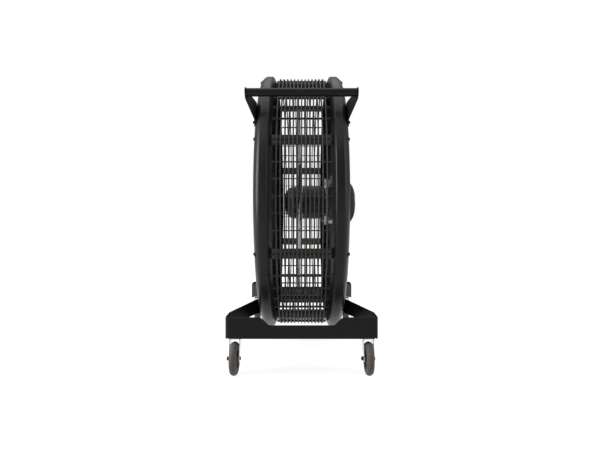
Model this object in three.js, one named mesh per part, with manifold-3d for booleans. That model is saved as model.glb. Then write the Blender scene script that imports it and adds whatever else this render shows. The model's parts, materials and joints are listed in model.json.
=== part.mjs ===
// Portable drum fan on a base with four casters. Millimetres, +Z up, floor at Z = 0.
// The rotor axis runs along X. Air leaves at the front, -X, and enters at +X and through the side cage.
import * as THREE from "three";
import { mergeVertices } from "three/addons/utils/BufferGeometryUtils.js";
import Module from "manifold-3d";

const wasm = await Module();
wasm.setup();

// ---- Driving dimensions ----
const gap = 0.3; // between pieces that touch
const slip = 0.4; // radial play of a turning or bolted fit

const axisHeight = 672;
const hoopRadius = 581;
const hoopWall = 6;
const lipSetback = 2; // mouth lip back from the hoop's face
const cageHalfWidth = 111; // centre plane to the hoop's inner edge
const seatDrop = 29; // rim down to the hoop's inner edge
const rimInset = 14; // inner edge to the rim's flat band
const rimWidth = 26;
const cornerDepth = 20;
const cornerFall = 18;
const faceBulge = 27.5; // rim band out to the hoop's face
const shoulderDrop = 72;
const mouthDrop = 105;
const hoopSegments = 48;
const roundSides = 24;
const rodSides = 12;
const boltSides = 8;

const panelCount = 8;
const ringCount = 13;
const ringPitch = 15.5;
const ringThickness = 5.6;
const ringDepth = 21;
const ringInset = 5; // hoop rim down to the rings' outer edge
const ringLap = 2; // rings sunk into the end bars
const panelBarWidth = 19;
const panelBarDepth = 12;
const arcSegments = 3;

const boltCircleDrop = 26;
const footBoltDrop = 52; // the two lower tie rods stand further in, where the feet bolt on
const boltHeadRadius = 7.5;
const boltHeadHeight = 5.5;
const boltHeadTaper = 0.8;
const boltShankRadius = 5;
const boltReach = 8; // shank past the inside of the hoop's wall

const grilleBar = 6;
const grilleRimBar = 9;
const grilleHubRadius = 118;
const grilleRings = 3;
const grilleOverlap = 8; // grille rim behind the hoop's lip
const grilleSpokes = 8;
const spokeWidth = 4;
const capHeight = 5;

const bladeRadius = 456;
const bladeCount = 4;
const bladeLead = -10; // degrees from -Y, rest position of the first blade
const bladeThickness = 4;
const bladeRootChord = 110;
const bladeTipChord = 80;
const bladeRootPitch = 11;
const bladeTipPitch = 8.5;
const bladePlane = -11;
const hubRadius = 79;
const hubNose = -85;
const hubBack = 4;
const hubSkin = 3; // in front of the shaft's end
const shaftRadius = 9;
const shaftFront = -60;

const motorRadius = 79;
const motorFront = 7;
const frontBellLength = 12;
const motorBodyLength = 70;
const rearBellLength = 24;
const shaftBury = 32;
const shaftEndPlay = 4;
const plateThickness = 6;
const plateWidth = 150;
const plateHeight = 216;
const railRadius = 11;
const railOffset = 87;

const domeRadius = 118;
const domeHeight = 89;
const domeWall = 4;
const boxWidth = 70;
const boxDepth = 60;
const boxHeight = 21;
const glandRadius = 9;
const glandLength = 18;

const handleRadius = 15.5;
const handleLength = 420;
const handleReach = 638; // rotor axis to the bar's axis
const handleAngle = 37.4; // degrees above -Y
const bracketThickness = 4;
const bracketBoltAngle = 30.6;
const bracketTail = 32; // below the bolt
const bracketHead = 11; // above the bolt, up to the crank
const bracketRim = 6; // round the bar's end
const bracketCorner = 12; // round the bolt
const bracketUpper = 28; // above the handle's centre line, at the foot

const beamFace = 496;
const beamHalfLength = 287;
const beamBottom = 141;
const beamTop = 222;
const beamChamfer = 12;
const dipDepth = 30;
const dipHalfTop = 153.5;
const dipHalfBottom = 122;
const footPlate = 5;
const bendRadius = 18;
const armRise = 28;
const armLift = 40; // of the arm's lower edge
const armLiftRun = 110;
const tabLength = 62;
const tabDrop = 16; // below the tie rod
const bendSteps = 5;
const sideLength = 96; // beam face to the arm's bend
const shelfDepth = 92;
const shelfHeight = 155;

const casterX = 254;
const casterY = 445;
const casterTrail = 30;
const wheelRadius = 62.5;
const wheelHalfWidth = 16;
const axleRadius = 5;
const forkPlate = 4;
const forkHalfDepth = 25;
const forkTopGap = 8;
const mountPlate = 4;
const mountWidth = 50;
const mountLength = 76;
const raceRadius = 23;
const kingpinRadius = 5;
const forkPlay = 0.5; // each side of the wheel
const nutHeight = 9;
const axleHeadHeight = 3;

// ---- Derived places ----
const rimInner = cageHalfWidth + rimInset;
const rimOuter = rimInner + rimWidth;
const faceX = rimOuter + faceBulge;
const mouthRadius = hoopRadius - mouthDrop;
const shoulderRadius = hoopRadius - shoulderDrop;
const seatRadius = hoopRadius - seatDrop;
const lipX = faceX - lipSetback;
const ringRadius = hoopRadius - ringInset;
const ringInnerRadius = ringRadius - ringDepth;
const panelBarRadius = ringInnerRadius + ringLap / 2;
const boltCircle = hoopRadius - boltCircleDrop;
const footBoltCircle = hoopRadius - footBoltDrop;
const headSeat = faceX + gap;
const tieAngles = Array.from({ length: panelCount }, (_, k) => ((k + 0.5) * 360) / panelCount);
const tabX = headSeat + footPlate / 2;
const grilleBack = lipX - hoopWall - gap - grilleRimBar;
const grilleRimRadius = mouthRadius + grilleOverlap;
const boltHole = boltShankRadius + slip;
const past = 5; // a cutting solid's run past what it cuts

const facet = Math.cos(Math.PI / hoopSegments);
const radians = THREE.MathUtils.degToRad;

// The hoop's outer face at a radius between its corner and its shoulder.
const faceAt = (r) =>
  THREE.MathUtils.mapLinear(r, hoopRadius - cornerFall, shoulderRadius, rimOuter + cornerDepth, faceX);

// ---- Solids ----
function solid(geometry) {
  const loose = geometry.index ? geometry.toNonIndexed() : geometry;
  const bare = new THREE.BufferGeometry().setAttribute("position", loose.getAttribute("position"));
  const merged = mergeVertices(bare, 1e-3);
  const corners = merged.index.array;
  const kept = [];
  for (let i = 0; i < corners.length; i += 3) {
    const [a, b, c] = corners.subarray(i, i + 3);
    if (a !== b && b !== c && a !== c) kept.push(a, b, c);
  }
  const make = (list) =>
    new wasm.Manifold(
      new wasm.Mesh({
        numProp: 3,
        vertProperties: merged.attributes.position.array,
        triVerts: new Uint32Array(list),
      }),
    );
  const made = make(kept);
  return made.volume() < 0 ? make(kept.reverse()) : made;
}

function geometryOf(shape) {
  const mesh = shape.getMesh();
  const geometry = new THREE.BufferGeometry();
  geometry.setAttribute("position", new THREE.BufferAttribute(mesh.vertProperties, mesh.numProp));
  geometry.setIndex(new THREE.BufferAttribute(mesh.triVerts, 1));
  geometry.computeVertexNormals();
  return geometry;
}

// Joined and cut solids are merged across flat faces, which keeps them light.
const union = (shapes) => shapes.reduce((sum, next) => sum.add(next)).asOriginal().simplify();
const cutAll = (shape, cuts) => cuts.reduce((left, cut) => left.subtract(cut), shape).asOriginal().simplify();

// A turned form about the X axis, from [x, radius] points.
function turned(points, segments) {
  const profile = points.map(([x, r]) => new THREE.Vector2(r, x));
  return new THREE.LatheGeometry(profile, segments).rotateZ(-Math.PI / 2);
}

const closed = (points) => [...points, points[0]];

// A rod along X between two stations.
const rodX = (from, to, radius, segments) =>
  turned([[from, 0], [from, radius], [to, radius], [to, 0]], segments);

// A rod along Z with its own radius at each end.
const rodZ = (from, to, lower, upper, segments) =>
  new THREE.CylinderGeometry(upper, lower, to - from, segments)
    .rotateX(Math.PI / 2)
    .translate(0, 0, (from + to) / 2);

function box(x0, x1, y0, y1, z0, z1) {
  const geometry = new THREE.BoxGeometry(x1 - x0, y1 - y0, z1 - z0);
  return geometry.translate((x0 + x1) / 2, (y0 + y1) / 2, (z0 + z1) / 2);
}

const outline = (points) => new THREE.Shape(points.map(([x, y]) => new THREE.Vector2(x, y)));

// A flat outline of [x, y] points raised along Z.
function slab(points, from, to) {
  const settings = { depth: to - from, bevelEnabled: false };
  return new THREE.ExtrudeGeometry(outline(points), settings).translate(0, 0, from);
}

// A flat outline of [y, z] points raised along X.
const slabX = (points, from, to) => slab(points, from, to).rotateY(Math.PI / 2).rotateX(Math.PI / 2);

// A flat outline of [x, z] points raised along Y.
const slabY = (points, from, to) => slab(points, -to, -from).rotateX(Math.PI / 2);

// The place on the wheel of radius r at an angle above -Y, as [y, z] about the rotor axis.
const onWheel = (r, degrees) => [-r * Math.cos(radians(degrees)), r * Math.sin(radians(degrees))];

// ---- The group ----
const fan = new THREE.Group();
fan.name = "drum_fan";
const drum = new THREE.Group();
drum.position.z = axisHeight;
fan.add(drum);

const looks = {
  shell: [0x1c1c1b, 0.55, 0.0],
  cage: [0x232322, 0.6, 0.0],
  frame: [0x161616, 0.5, 0.3],
  motor: [0x1a1917, 0.5, 0.4],
  zinc: [0xb8bcc2, 0.35, 0.9],
  blade: [0xa3a7ac, 0.35, 0.8],
  tyre: [0x4a4540, 0.7, 0.0],
};

function place(parent, name, look, shape) {
  const [color, roughness, metalness] = looks[look];
  const material = new THREE.MeshStandardMaterial({ color, roughness, metalness });
  const mesh = new THREE.Mesh(shape.isBufferGeometry ? shape : geometryOf(shape), material);
  mesh.name = name;
  parent.add(mesh);
  return mesh;
}

// ---- Drum ----
function hoopShell() {
  const outer = [
    [cageHalfWidth, seatRadius],
    [rimInner, hoopRadius],
    [rimOuter, hoopRadius],
    [rimOuter + cornerDepth * 0.6, hoopRadius - cornerFall * 0.4],
    [rimOuter + cornerDepth, hoopRadius - cornerFall],
    [faceX, shoulderRadius],
    [lipX, mouthRadius],
  ];
  const inner = [
    [lipX - hoopWall, mouthRadius],
    [faceX - hoopWall, shoulderRadius],
    [rimOuter, hoopRadius - hoopWall],
    [rimInner + hoopWall / 2, hoopRadius - hoopWall],
    [cageHalfWidth + hoopWall, seatRadius],
  ];
  return turned(closed([...outer, ...inner]), hoopSegments);
}

// The place of each tie rod, as [y, z] about the rotor axis.
const tieStations = tieAngles.map((degrees) => {
  const holdsFoot = Math.sin(radians(degrees)) < -0.9;
  const [y, z] = onWheel(holdsFoot ? footBoltCircle : boltCircle, degrees);
  return { y, z, holdsFoot };
});

function boltCuts() {
  const [y, z] = onWheel(boltCircle, bracketBoltAngle);
  const cut = (from, place) => {
    const hole = rodX(from, faceX + past, boltHole, boltSides);
    return solid(hole.translate(0, place.y, place.z));
  };
  return [cut(rimOuter, { y, z }), ...tieStations.map((place) => cut(cageHalfWidth - past, place))];
}

function addHoops() {
  const rear = cutAll(solid(hoopShell()), boltCuts());
  place(drum, "rear_hoop", "shell", rear);
  const mirror = geometryOf(rear).scale(-1, 1, 1);
  place(drum, "front_hoop", "shell", solid(mirror));
}

// A bent bar that follows the cage for one panel: the flat outline of its arc raised along X.
function arcBar(x0, x1, r0, r1, halfAngle, segments) {
  const points = [];
  for (let i = 0; i <= segments; i++) {
    points.push(onWheel(r1, -halfAngle + (2 * halfAngle * i) / segments));
  }
  for (let i = segments; i >= 0; i--) {
    points.push(onWheel(r0, -halfAngle + (2 * halfAngle * i) / segments));
  }
  return slabX(points, x0, x1);
}

function sidePanel() {
  const half = 180 / panelCount;
  const seam = THREE.MathUtils.radToDeg(gap / ringRadius);
  const barAngle = THREE.MathUtils.radToDeg(panelBarWidth / panelBarRadius);
  const bars = [-1, 1].map((side) => {
    const middle = side * (half - seam - barAngle / 2);
    const bar = arcBar(gap - cageHalfWidth, cageHalfWidth - gap, panelBarRadius - panelBarDepth,
      panelBarRadius, barAngle / 2, 1);
    return solid(bar.rotateX(radians(-middle)));
  });
  const first = (-(ringCount - 1) / 2) * ringPitch;
  const rings = Array.from({ length: ringCount }, (_, k) => {
    const x = first + k * ringPitch;
    return solid(
      arcBar(x - ringThickness / 2, x + ringThickness / 2, ringInnerRadius - ringLap, ringRadius,
        half - seam, arcSegments),
    );
  });
  const reach = cageHalfWidth + past;
  const deep = [-boltCircle - boltHole, -boltCircle + boltHole];
  const notch = box(-reach, reach, ...deep, -boltHole, boltHole);
  const notches = [-1, 1].map((side) => solid(notch.clone().rotateX(radians(-side * half))));
  return cutAll(union([...bars, ...rings]), notches);
}

function addPanels() {
  const panel = geometryOf(sidePanel());
  for (let k = 0; k < panelCount; k++) {
    const mesh = place(drum, `side_panel_${k + 1}`, "cage", panel.clone());
    mesh.rotation.x = radians((-k * 360) / panelCount);
  }
}

// The [x, radius] profile of a bolt's shank and head, from inside the hoop to the head's top.
const boltProfile = (inner, seat) => [
  [inner, boltShankRadius],
  [seat, boltShankRadius],
  [seat, boltHeadRadius],
  [seat + boltHeadHeight, boltHeadRadius * boltHeadTaper],
  [seat + boltHeadHeight, 0],
];

// A rod that ties both hoops together, with a head at each end.
function tieRod(seat) {
  const half = boltProfile(0, seat).slice(1);
  const other = half.map(([x, r]) => [-x, r]).reverse();
  return turned([...other, ...half], boltSides);
}

function addTieRods() {
  tieStations.forEach(({ y, z, holdsFoot }, k) => {
    const seat = holdsFoot ? headSeat + footPlate + gap : faceAt(boltCircle - boltHeadRadius) + gap;
    const rod = place(drum, `tie_rod_${k + 1}`, "frame", solid(tieRod(seat)));
    rod.position.set(0, y, z);
  });
}

// A round guard with concentric rings and straight spokes, its outer face towards +X.
function grille() {
  const ring = (radius, depth, segments) =>
    solid(
      turned(
        closed([
          [grilleBack, radius - depth / 2],
          [grilleBack + depth, radius - depth / 2],
          [grilleBack + depth, radius + depth / 2],
          [grilleBack, radius + depth / 2],
        ]),
        segments,
      ),
    );
  const pitch = (grilleRimRadius - grilleHubRadius) / (grilleRings + 1);
  const rings = [ring(grilleRimRadius, grilleRimBar, roundSides)];
  for (let k = 0; k <= grilleRings; k++) {
    rings.push(ring(grilleHubRadius + k * pitch, grilleBar, roundSides * (2 / 3)));
  }
  const middle = grilleBack + grilleBar / 2;
  const half = spokeWidth / 2;
  const spokes = Array.from({ length: grilleSpokes }, (_, k) => {
    const bar = box(middle - half, middle + half, -half, half, grilleHubRadius, grilleRimRadius);
    return solid(bar.rotateX((k * 2 * Math.PI) / grilleSpokes));
  });
  return union([...rings, ...spokes]);
}

function addGrilles() {
  const rear = grille();
  place(drum, "rear_grille", "cage", rear);
  place(drum, "front_grille", "cage", solid(geometryOf(rear).scale(-1, 1, 1)));
  const capBack = grilleBack + grilleBar + gap;
  const cap = [
    [capBack, 0],
    [capBack, grilleHubRadius],
    [capBack + capHeight * 0.6, grilleHubRadius * 0.95],
    [capBack + capHeight, 0],
  ];
  place(drum, "front_cap", "shell", solid(turned(cap, roundSides).scale(-1, 1, 1)));
}

// ---- Rear cover and terminal box ----
function domeShell(base) {
  const shape = [[0, 1], [0.55, 0.95], [0.84, 0.66], [0.985, 0.26], [1, 0]];
  const outer = shape.map(([x, r]) => [base + x * domeHeight, r * domeRadius]);
  const inner = shape.map(([x, r]) => [base + x * (domeHeight - domeWall), r * (domeRadius - domeWall)]);
  return turned(closed([...outer, ...inner.reverse()]), roundSides);
}

function addRearCover() {
  const base = grilleBack + grilleBar + gap;
  place(drum, "rear_dome", "shell", solid(domeShell(base)));
  const top = -domeRadius - gap;
  const terminal = box(base, base + boxDepth, -boxWidth / 2, boxWidth / 2, top - boxHeight, top);
  place(drum, "terminal_box", "shell", solid(terminal));
  const gland = new THREE.LatheGeometry(
    [
      new THREE.Vector2(0, 0),
      new THREE.Vector2(glandRadius * 0.6, 0),
      new THREE.Vector2(glandRadius, glandLength * 0.45),
      new THREE.Vector2(glandRadius, glandLength),
      new THREE.Vector2(0, glandLength),
    ],
    rodSides,
  ).rotateX(Math.PI / 2);
  gland.translate(base + boxDepth / 2, 0, top - boxHeight - gap - glandLength);
  place(drum, "cord_gland", "shell", solid(gland));
}

// ---- Motor and rotor ----
function addMotor() {
  const bodyStart = motorFront + frontBellLength + gap;
  const bodyEnd = bodyStart + motorBodyLength;
  const bellEnd = bodyEnd + gap + rearBellLength;
  const bore = shaftRadius + slip;
  const frontBell = closed([
    [motorFront, bore],
    [motorFront, motorRadius * 0.93],
    [motorFront + frontBellLength * 0.3, motorRadius],
    [motorFront + frontBellLength, motorRadius],
    [motorFront + frontBellLength, bore],
  ]);
  place(drum, "motor_front_bell", "motor", solid(turned(frontBell, roundSides)));
  const body = [
    [bodyStart + shaftBury, 0],
    [bodyStart + shaftBury, bore],
    [bodyStart, bore],
    [bodyStart, motorRadius],
    [bodyEnd, motorRadius],
    [bodyEnd, 0],
  ];
  place(drum, "motor_body", "motor", solid(turned(body, roundSides)));
  const rearBell = [
    [bodyEnd + gap, 0],
    [bodyEnd + gap, motorRadius],
    [bellEnd - rearBellLength * 0.5, motorRadius * 0.96],
    [bellEnd, motorRadius * 0.74],
    [bellEnd, 0],
  ];
  place(drum, "motor_rear_bell", "motor", solid(turned(rearBell, roundSides)));
  addMotorMount(bellEnd + gap);
  addRotor(bodyStart + shaftBury - shaftEndPlay);
}

// The plate behind the motor, and the two rails that carry it across the rear hoop.
function addMotorMount(start) {
  const plate = box(start, start + plateThickness, -plateWidth / 2, plateWidth / 2, -plateHeight / 2,
    plateHeight / 2);
  place(drum, "motor_plate", "zinc", solid(plate));
  const railX = start + plateThickness + gap + railRadius;
  const wall = (seatRadius + hoopWall / 2) * facet;
  const reach = Math.sqrt(wall ** 2 - (railOffset + railRadius) ** 2) - gap;
  for (const [name, side] of [["upper", 1], ["lower", -1]]) {
    const rail = new THREE.CylinderGeometry(railRadius, railRadius, 2 * reach, rodSides);
    const mesh = place(drum, `motor_rail_${name}`, "zinc", solid(rail));
    mesh.position.set(railX, 0, side * railOffset);
  }
}

function blade() {
  const root = hubRadius + 4 * gap;
  const length = bladeRadius - root;
  const geometry = new THREE.BoxGeometry(bladeThickness, 1, length, 1, 1, 6);
  const places = geometry.getAttribute("position");
  for (let i = 0; i < places.count; i++) {
    const along = (places.getZ(i) + length / 2) / length;
    const chord = THREE.MathUtils.lerp(bladeRootChord, bladeTipChord, along);
    const pitch = radians(THREE.MathUtils.lerp(bladeRootPitch, bladeTipPitch, along));
    const across = places.getY(i) * chord;
    const through = places.getX(i);
    places.setXYZ(
      i,
      through * Math.cos(pitch) - across * Math.sin(pitch),
      through * Math.sin(pitch) + across * Math.cos(pitch),
      root + along * length,
    );
  }
  return geometry.rotateX(Math.PI / 2);
}

function addRotor(shaftEnd) {
  place(drum, "shaft", "zinc", solid(rodX(shaftFront, shaftEnd, shaftRadius, rodSides)));
  const bore = shaftRadius + slip;
  const hub = [
    [shaftFront - hubSkin, 0],
    [shaftFront - hubSkin, bore],
    [hubBack, bore],
    [hubBack, hubRadius],
    [hubNose * 0.6, hubRadius],
    [hubNose * 0.86, hubRadius * 0.78],
    [hubNose, hubRadius * 0.36],
    [hubNose, 0],
  ];
  place(drum, "hub", "motor", solid(turned(hub, roundSides)));
  const oneBlade = solid(blade());
  for (let k = 0; k < bladeCount; k++) {
    const mesh = place(drum, `blade_${k + 1}`, "blade", geometryOf(oneBlade));
    mesh.position.x = bladePlane;
    mesh.rotation.x = radians(-bladeLead - (k * 360) / bladeCount);
  }
}

// ---- Handle ----
function addHandle() {
  const [barY, barZ] = onWheel(handleReach, handleAngle);
  const endX = handleLength / 2 - bracketThickness;
  const tube = solid(rodX(gap - endX, endX - gap, handleRadius, roundSides * (2 / 3)));
  const bar = place(drum, "handle_bar", "frame", tube);
  bar.position.set(0, barY, barZ);
  const bracket = handleBracket(endX);
  place(drum, "handle_bracket_rear", "frame", bracket);
  place(drum, "handle_bracket_front", "frame", solid(geometryOf(bracket).scale(-1, 1, 1)));
  const underBolt = boltCircle * Math.cos(radians(handleAngle - bracketBoltAngle));
  const seat = faceAt(underBolt - boltHeadRadius) + gap + bracketThickness + gap;
  const inside = faceAt(boltCircle) - hoopWall - boltReach;
  const bolt = [[inside, 0], ...boltProfile(inside, seat)];
  const [y, z] = onWheel(boltCircle, bracketBoltAngle);
  for (const [name, side] of [["rear", 1], ["front", -1]]) {
    const shape = solid(turned(bolt, boltSides).scale(side, 1, 1));
    place(drum, `handle_bolt_${name}`, "frame", shape).position.set(0, y, z);
  }
}

// A plate that lies on the hoop's sloping face and cranks out to the end of the handle bar.
function handleBracket(endX) {
  const tail = boltCircle - bracketTail;
  const knee = boltCircle + bracketHead;
  const barEdge = handleRadius + bracketRim;
  const low = faceAt(tail) + gap;
  const side = [
    [low, tail],
    [faceAt(knee) + gap, knee],
    [endX, handleReach - barEdge],
    [endX, handleReach + barEdge],
  ];
  const back = side.map(([x, r]) => [x + bracketThickness, r]).reverse();
  const crank = stripAlongRadius([...side, ...back], plateWidth);
  const spread = THREE.MathUtils.radToDeg(handleRadius / handleReach);
  const turn = (length) => THREE.MathUtils.radToDeg(length / boltCircle);
  const mask = slabX(
    [
      onWheel(handleReach + barEdge - 1, handleAngle + spread),
      onWheel(handleReach + barEdge - 1, handleAngle - spread),
      onWheel(knee, bracketBoltAngle - turn(bracketCorner / 2)),
      onWheel(boltCircle, bracketBoltAngle - turn(bracketCorner)),
      onWheel(boltCircle - bracketCorner, bracketBoltAngle - turn(bracketCorner / 2)),
      onWheel(tail, bracketBoltAngle + turn(bracketCorner)),
      onWheel(tail, handleAngle),
      onWheel(boltCircle, handleAngle + turn(bracketUpper)),
      onWheel(knee + bracketTail / 2, handleAngle + turn(bracketUpper * 0.8)),
    ],
    faceAt(knee) - past,
    endX + bracketThickness + past,
  );
  const [y, z] = onWheel(boltCircle, bracketBoltAngle);
  const bore = rodX(faceAt(knee) - past, endX + past, boltHole, boltSides);
  const hole = solid(bore.translate(0, y, z));
  return solid(crank).intersect(solid(mask)).subtract(hole);
}

// An [x, radius] outline given width across the radius that runs up at the handle's angle.
const stripAlongRadius = (points, halfWidth) =>
  slab(points, -halfWidth, halfWidth).rotateX(radians(180 - handleAngle));

// ---- Feet ----
// A band of even thickness along a path of [x, y] points.
function band(path, thickness) {
  const side = (sign) =>
    path.map((point, i) => {
      const before = path[Math.max(i - 1, 0)];
      const after = path[Math.min(i + 1, path.length - 1)];
      const into = unit(i ? before : point, i ? point : after);
      const out = unit(i < path.length - 1 ? point : before, i < path.length - 1 ? after : point);
      const normal = [-(into[1] + out[1]) / 2, (into[0] + out[0]) / 2];
      const scale = (sign * thickness) / 2 / (normal[0] ** 2 + normal[1] ** 2);
      return [point[0] + normal[0] * scale, point[1] + normal[1] * scale];
    });
  return [...side(1), ...side(-1).reverse()];
}

function unit(a, b) {
  const length = Math.hypot(b[0] - a[0], b[1] - a[1]);
  return [(b[0] - a[0]) / length, (b[1] - a[1]) / length];
}

// The foot at -Y: a dipped beam, two arms that reach in to the hoops, and a shelf for the casters.
function foot() {
  const faceY = -beamFace + footPlate / 2;
  const endX = beamHalfLength - footPlate / 2;
  const [rodY, rodZ] = onWheel(footBoltCircle, -90 + 180 / panelCount);
  const tabOuterY = rodY - tabLength / 2;
  const sideEnd = sideLength - beamFace;
  const bend = [];
  for (let i = 0; i <= bendSteps; i++) {
    const turn = (Math.PI / 2) * (i / bendSteps - 1);
    const across = endX - bendRadius + bendRadius * Math.cos(turn);
    bend.push([across, faceY + bendRadius + bendRadius * Math.sin(turn)]);
  }
  const half = [...bend, [endX, sideEnd], [tabX, tabOuterY], [tabX, rodY + tabLength / 2]];
  const path = [...half.map(([x, y]) => [-x, y]).reverse(), ...half];
  const top = beamTop + armRise;
  const strip = solid(slab(band(path, footPlate), beamBottom, top));
  const rodHeight = axisHeight + rodZ;
  const elevation = [
    [-beamFace - past, beamBottom - past],
    [sideEnd, beamBottom],
    [sideEnd + armLiftRun, beamBottom + armLift],
    [tabOuterY, rodHeight],
    [rodY - tabDrop, rodHeight - tabDrop],
    [rodY + tabDrop, rodHeight - tabDrop],
    [rodY + tabLength, rodHeight],
    [rodY + tabLength, top + past],
    [tabOuterY, top],
    [sideEnd, beamTop],
    [-beamFace - past, beamTop],
  ];
  const front = [
    [-beamHalfLength - past, beamBottom + beamChamfer + past],
    [-beamHalfLength + beamChamfer, beamBottom],
    [beamHalfLength - beamChamfer, beamBottom],
    [beamHalfLength + past, beamBottom + beamChamfer + past],
    [beamHalfLength + past, top + past],
    [dipHalfTop, top + past],
    [dipHalfTop, beamTop],
    [dipHalfBottom, beamTop - dipDepth],
    [-dipHalfBottom, beamTop - dipDepth],
    [-dipHalfTop, beamTop],
    [-dipHalfTop, top + past],
    [-beamHalfLength - past, top + past],
  ];
  const cutLow = solid(slabX(elevation, -beamHalfLength - past, beamHalfLength + past));
  const cutFront = solid(slabY(front, -beamFace - past, 0));
  const shelfCorner = endX - bendRadius * 0.6;
  const shelf = solid(
    slab(
      [
        [-shelfCorner, faceY],
        [shelfCorner, faceY],
        [endX, faceY + bendRadius],
        [endX, faceY + shelfDepth],
        [-endX, faceY + shelfDepth],
        [-endX, faceY + bendRadius],
      ],
      shelfHeight,
      shelfHeight + footPlate,
    ),
  );
  const hole = rodX(faceX - past, tabX + footPlate + past, boltHole, boltSides).translate(0, rodY, rodHeight);
  const holes = [solid(hole), solid(hole.clone().scale(-1, 1, 1))];
  return cutAll(strip.intersect(cutLow).intersect(cutFront).add(shelf), holes);
}

function addFeet() {
  const near = foot();
  place(fan, "foot_near", "frame", near);
  const far = place(fan, "foot_far", "frame", geometryOf(near));
  far.rotation.z = Math.PI;
}

// ---- Casters ----
// Each caster stands in its own frame: the swivel axis is Z through its origin, with the floor at Z = 0.
function casterMount() {
  const top = shelfHeight - gap;
  const plateBottom = top - mountPlate;
  const raceBottom = wheelRadius * 2 + forkTopGap + forkPlate + gap;
  const pinBottom = raceBottom - gap - forkPlate;
  const plate = box(-mountWidth / 2, mountWidth / 2, -mountLength / 2, mountLength / 2, plateBottom, top);
  const race = rodZ(raceBottom, plateBottom + forkPlay, raceRadius * 0.8, raceRadius, roundSides * (2 / 3));
  const pin = rodZ(pinBottom, raceBottom + 1, kingpinRadius, kingpinRadius, rodSides);
  return union([solid(plate), solid(race), solid(pin)]);
}

function casterFork() {
  const top = wheelRadius * 2 + forkTopGap + forkPlate;
  const inner = wheelHalfWidth + forkPlay;
  const outer = inner + forkPlate;
  const leg = [
    [-forkHalfDepth, top],
    [-forkHalfDepth, top - 16],
    [-casterTrail - 13, wheelRadius + 6],
    [-casterTrail - 12, wheelRadius - 8],
    [-casterTrail - 5, wheelRadius - 13],
    [-casterTrail + 5, wheelRadius - 13],
    [-casterTrail + 12, wheelRadius - 8],
    [forkHalfDepth, top - 16],
    [forkHalfDepth, top],
  ];
  const legs = [[-outer, -inner], [inner, outer]].map(([from, to]) => solid(slabX(leg, from, to)));
  const bridge = solid(box(-outer, outer, -forkHalfDepth, forkHalfDepth, top - forkPlate, top));
  const axleHole = rodX(-outer - 1, outer + 1, axleRadius + slip, boltSides)
    .translate(0, -casterTrail, wheelRadius);
  const pinBore = kingpinRadius + slip;
  const pinHole = rodZ(top - 2 * forkPlate, top + forkPlate, pinBore, pinBore, rodSides);
  return cutAll(union([...legs, bridge]), [solid(axleHole), solid(pinHole)]);
}

function casterWheel() {
  const half = [
    [wheelHalfWidth, axleRadius + slip],
    [wheelHalfWidth, wheelRadius * 0.26],
    [wheelHalfWidth - 4, wheelRadius * 0.8],
    [wheelHalfWidth - 4, wheelRadius * 0.9],
    [wheelHalfWidth - 10, wheelRadius],
  ];
  const other = half.map(([x, r]) => [-x, r]).reverse();
  return solid(turned(closed([...half, ...other]), roundSides));
}

function casterAxle() {
  const side = wheelHalfWidth + forkPlay + forkPlate + gap;
  const profile = [
    [-side - nutHeight, 0],
    [-side - nutHeight, axleRadius * 1.7],
    [-side, axleRadius * 1.7],
    [-side, axleRadius],
    [side, axleRadius],
    [side, axleRadius * 1.6],
    [side + axleHeadHeight, axleRadius * 1.4],
    [side + axleHeadHeight, 0],
  ];
  return solid(turned(profile, boltSides - 2));
}

function addCasters() {
  const pieces = [
    ["caster_mount", "zinc", casterMount()],
    ["caster_fork", "zinc", casterFork()],
    ["wheel", "tyre", casterWheel().translate([0, -casterTrail, wheelRadius])],
    ["axle", "zinc", casterAxle().translate([0, -casterTrail, wheelRadius])],
  ];
  const corners = [[-1, -1], [1, -1], [-1, 1], [1, 1]];
  corners.forEach(([sideX, sideY], k) => {
    const caster = new THREE.Group();
    caster.position.set(sideX * casterX, sideY * casterY, 0);
    fan.add(caster);
    for (const [name, look, shape] of pieces) place(caster, `${name}_${k + 1}`, look, shape);
  });
}

addHoops();
addPanels();
addTieRods();
addGrilles();
addRearCover();
addMotor();
addHandle();
addFeet();
addCasters();

export default fan;
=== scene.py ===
# The looks of a drum fan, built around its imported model. Metres, +Z up, rotor axis along X, floor at Z = 0.
import json
import math

import bmesh
import bpy
from mathutils import Matrix, Vector


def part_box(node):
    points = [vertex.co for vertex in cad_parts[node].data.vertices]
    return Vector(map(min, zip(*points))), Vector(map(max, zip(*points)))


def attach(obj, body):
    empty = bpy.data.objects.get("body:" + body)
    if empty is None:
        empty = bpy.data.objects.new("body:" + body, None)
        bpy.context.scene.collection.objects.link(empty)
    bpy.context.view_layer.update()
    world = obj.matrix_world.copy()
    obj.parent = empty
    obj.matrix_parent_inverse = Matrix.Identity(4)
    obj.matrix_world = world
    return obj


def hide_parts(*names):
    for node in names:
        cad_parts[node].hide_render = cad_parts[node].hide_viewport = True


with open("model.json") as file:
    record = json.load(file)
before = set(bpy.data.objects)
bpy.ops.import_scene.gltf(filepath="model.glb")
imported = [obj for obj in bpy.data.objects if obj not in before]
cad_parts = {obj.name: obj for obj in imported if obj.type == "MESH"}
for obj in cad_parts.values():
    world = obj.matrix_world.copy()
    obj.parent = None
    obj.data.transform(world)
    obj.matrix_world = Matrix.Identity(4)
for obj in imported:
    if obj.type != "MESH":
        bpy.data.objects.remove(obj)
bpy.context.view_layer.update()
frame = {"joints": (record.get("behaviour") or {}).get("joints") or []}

MM = 0.001
TURN = 2 * math.pi
JOINTS = {joint["name"]: joint for joint in frame["joints"]}
AXIS = Vector(JOINTS["rotor_spin"]["pos_m"])
CASTERS = (1, 2, 3, 4)
PANELS = 8
PANEL_ANGLE = 360 / PANELS


# ---- Numbers and outlines ----
def mm(*values):
    return tuple(value * MM for value in values)


def in_mm(*points):
    """Outline points given in millimetres."""
    return [mm(*point) for point in points]


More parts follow.
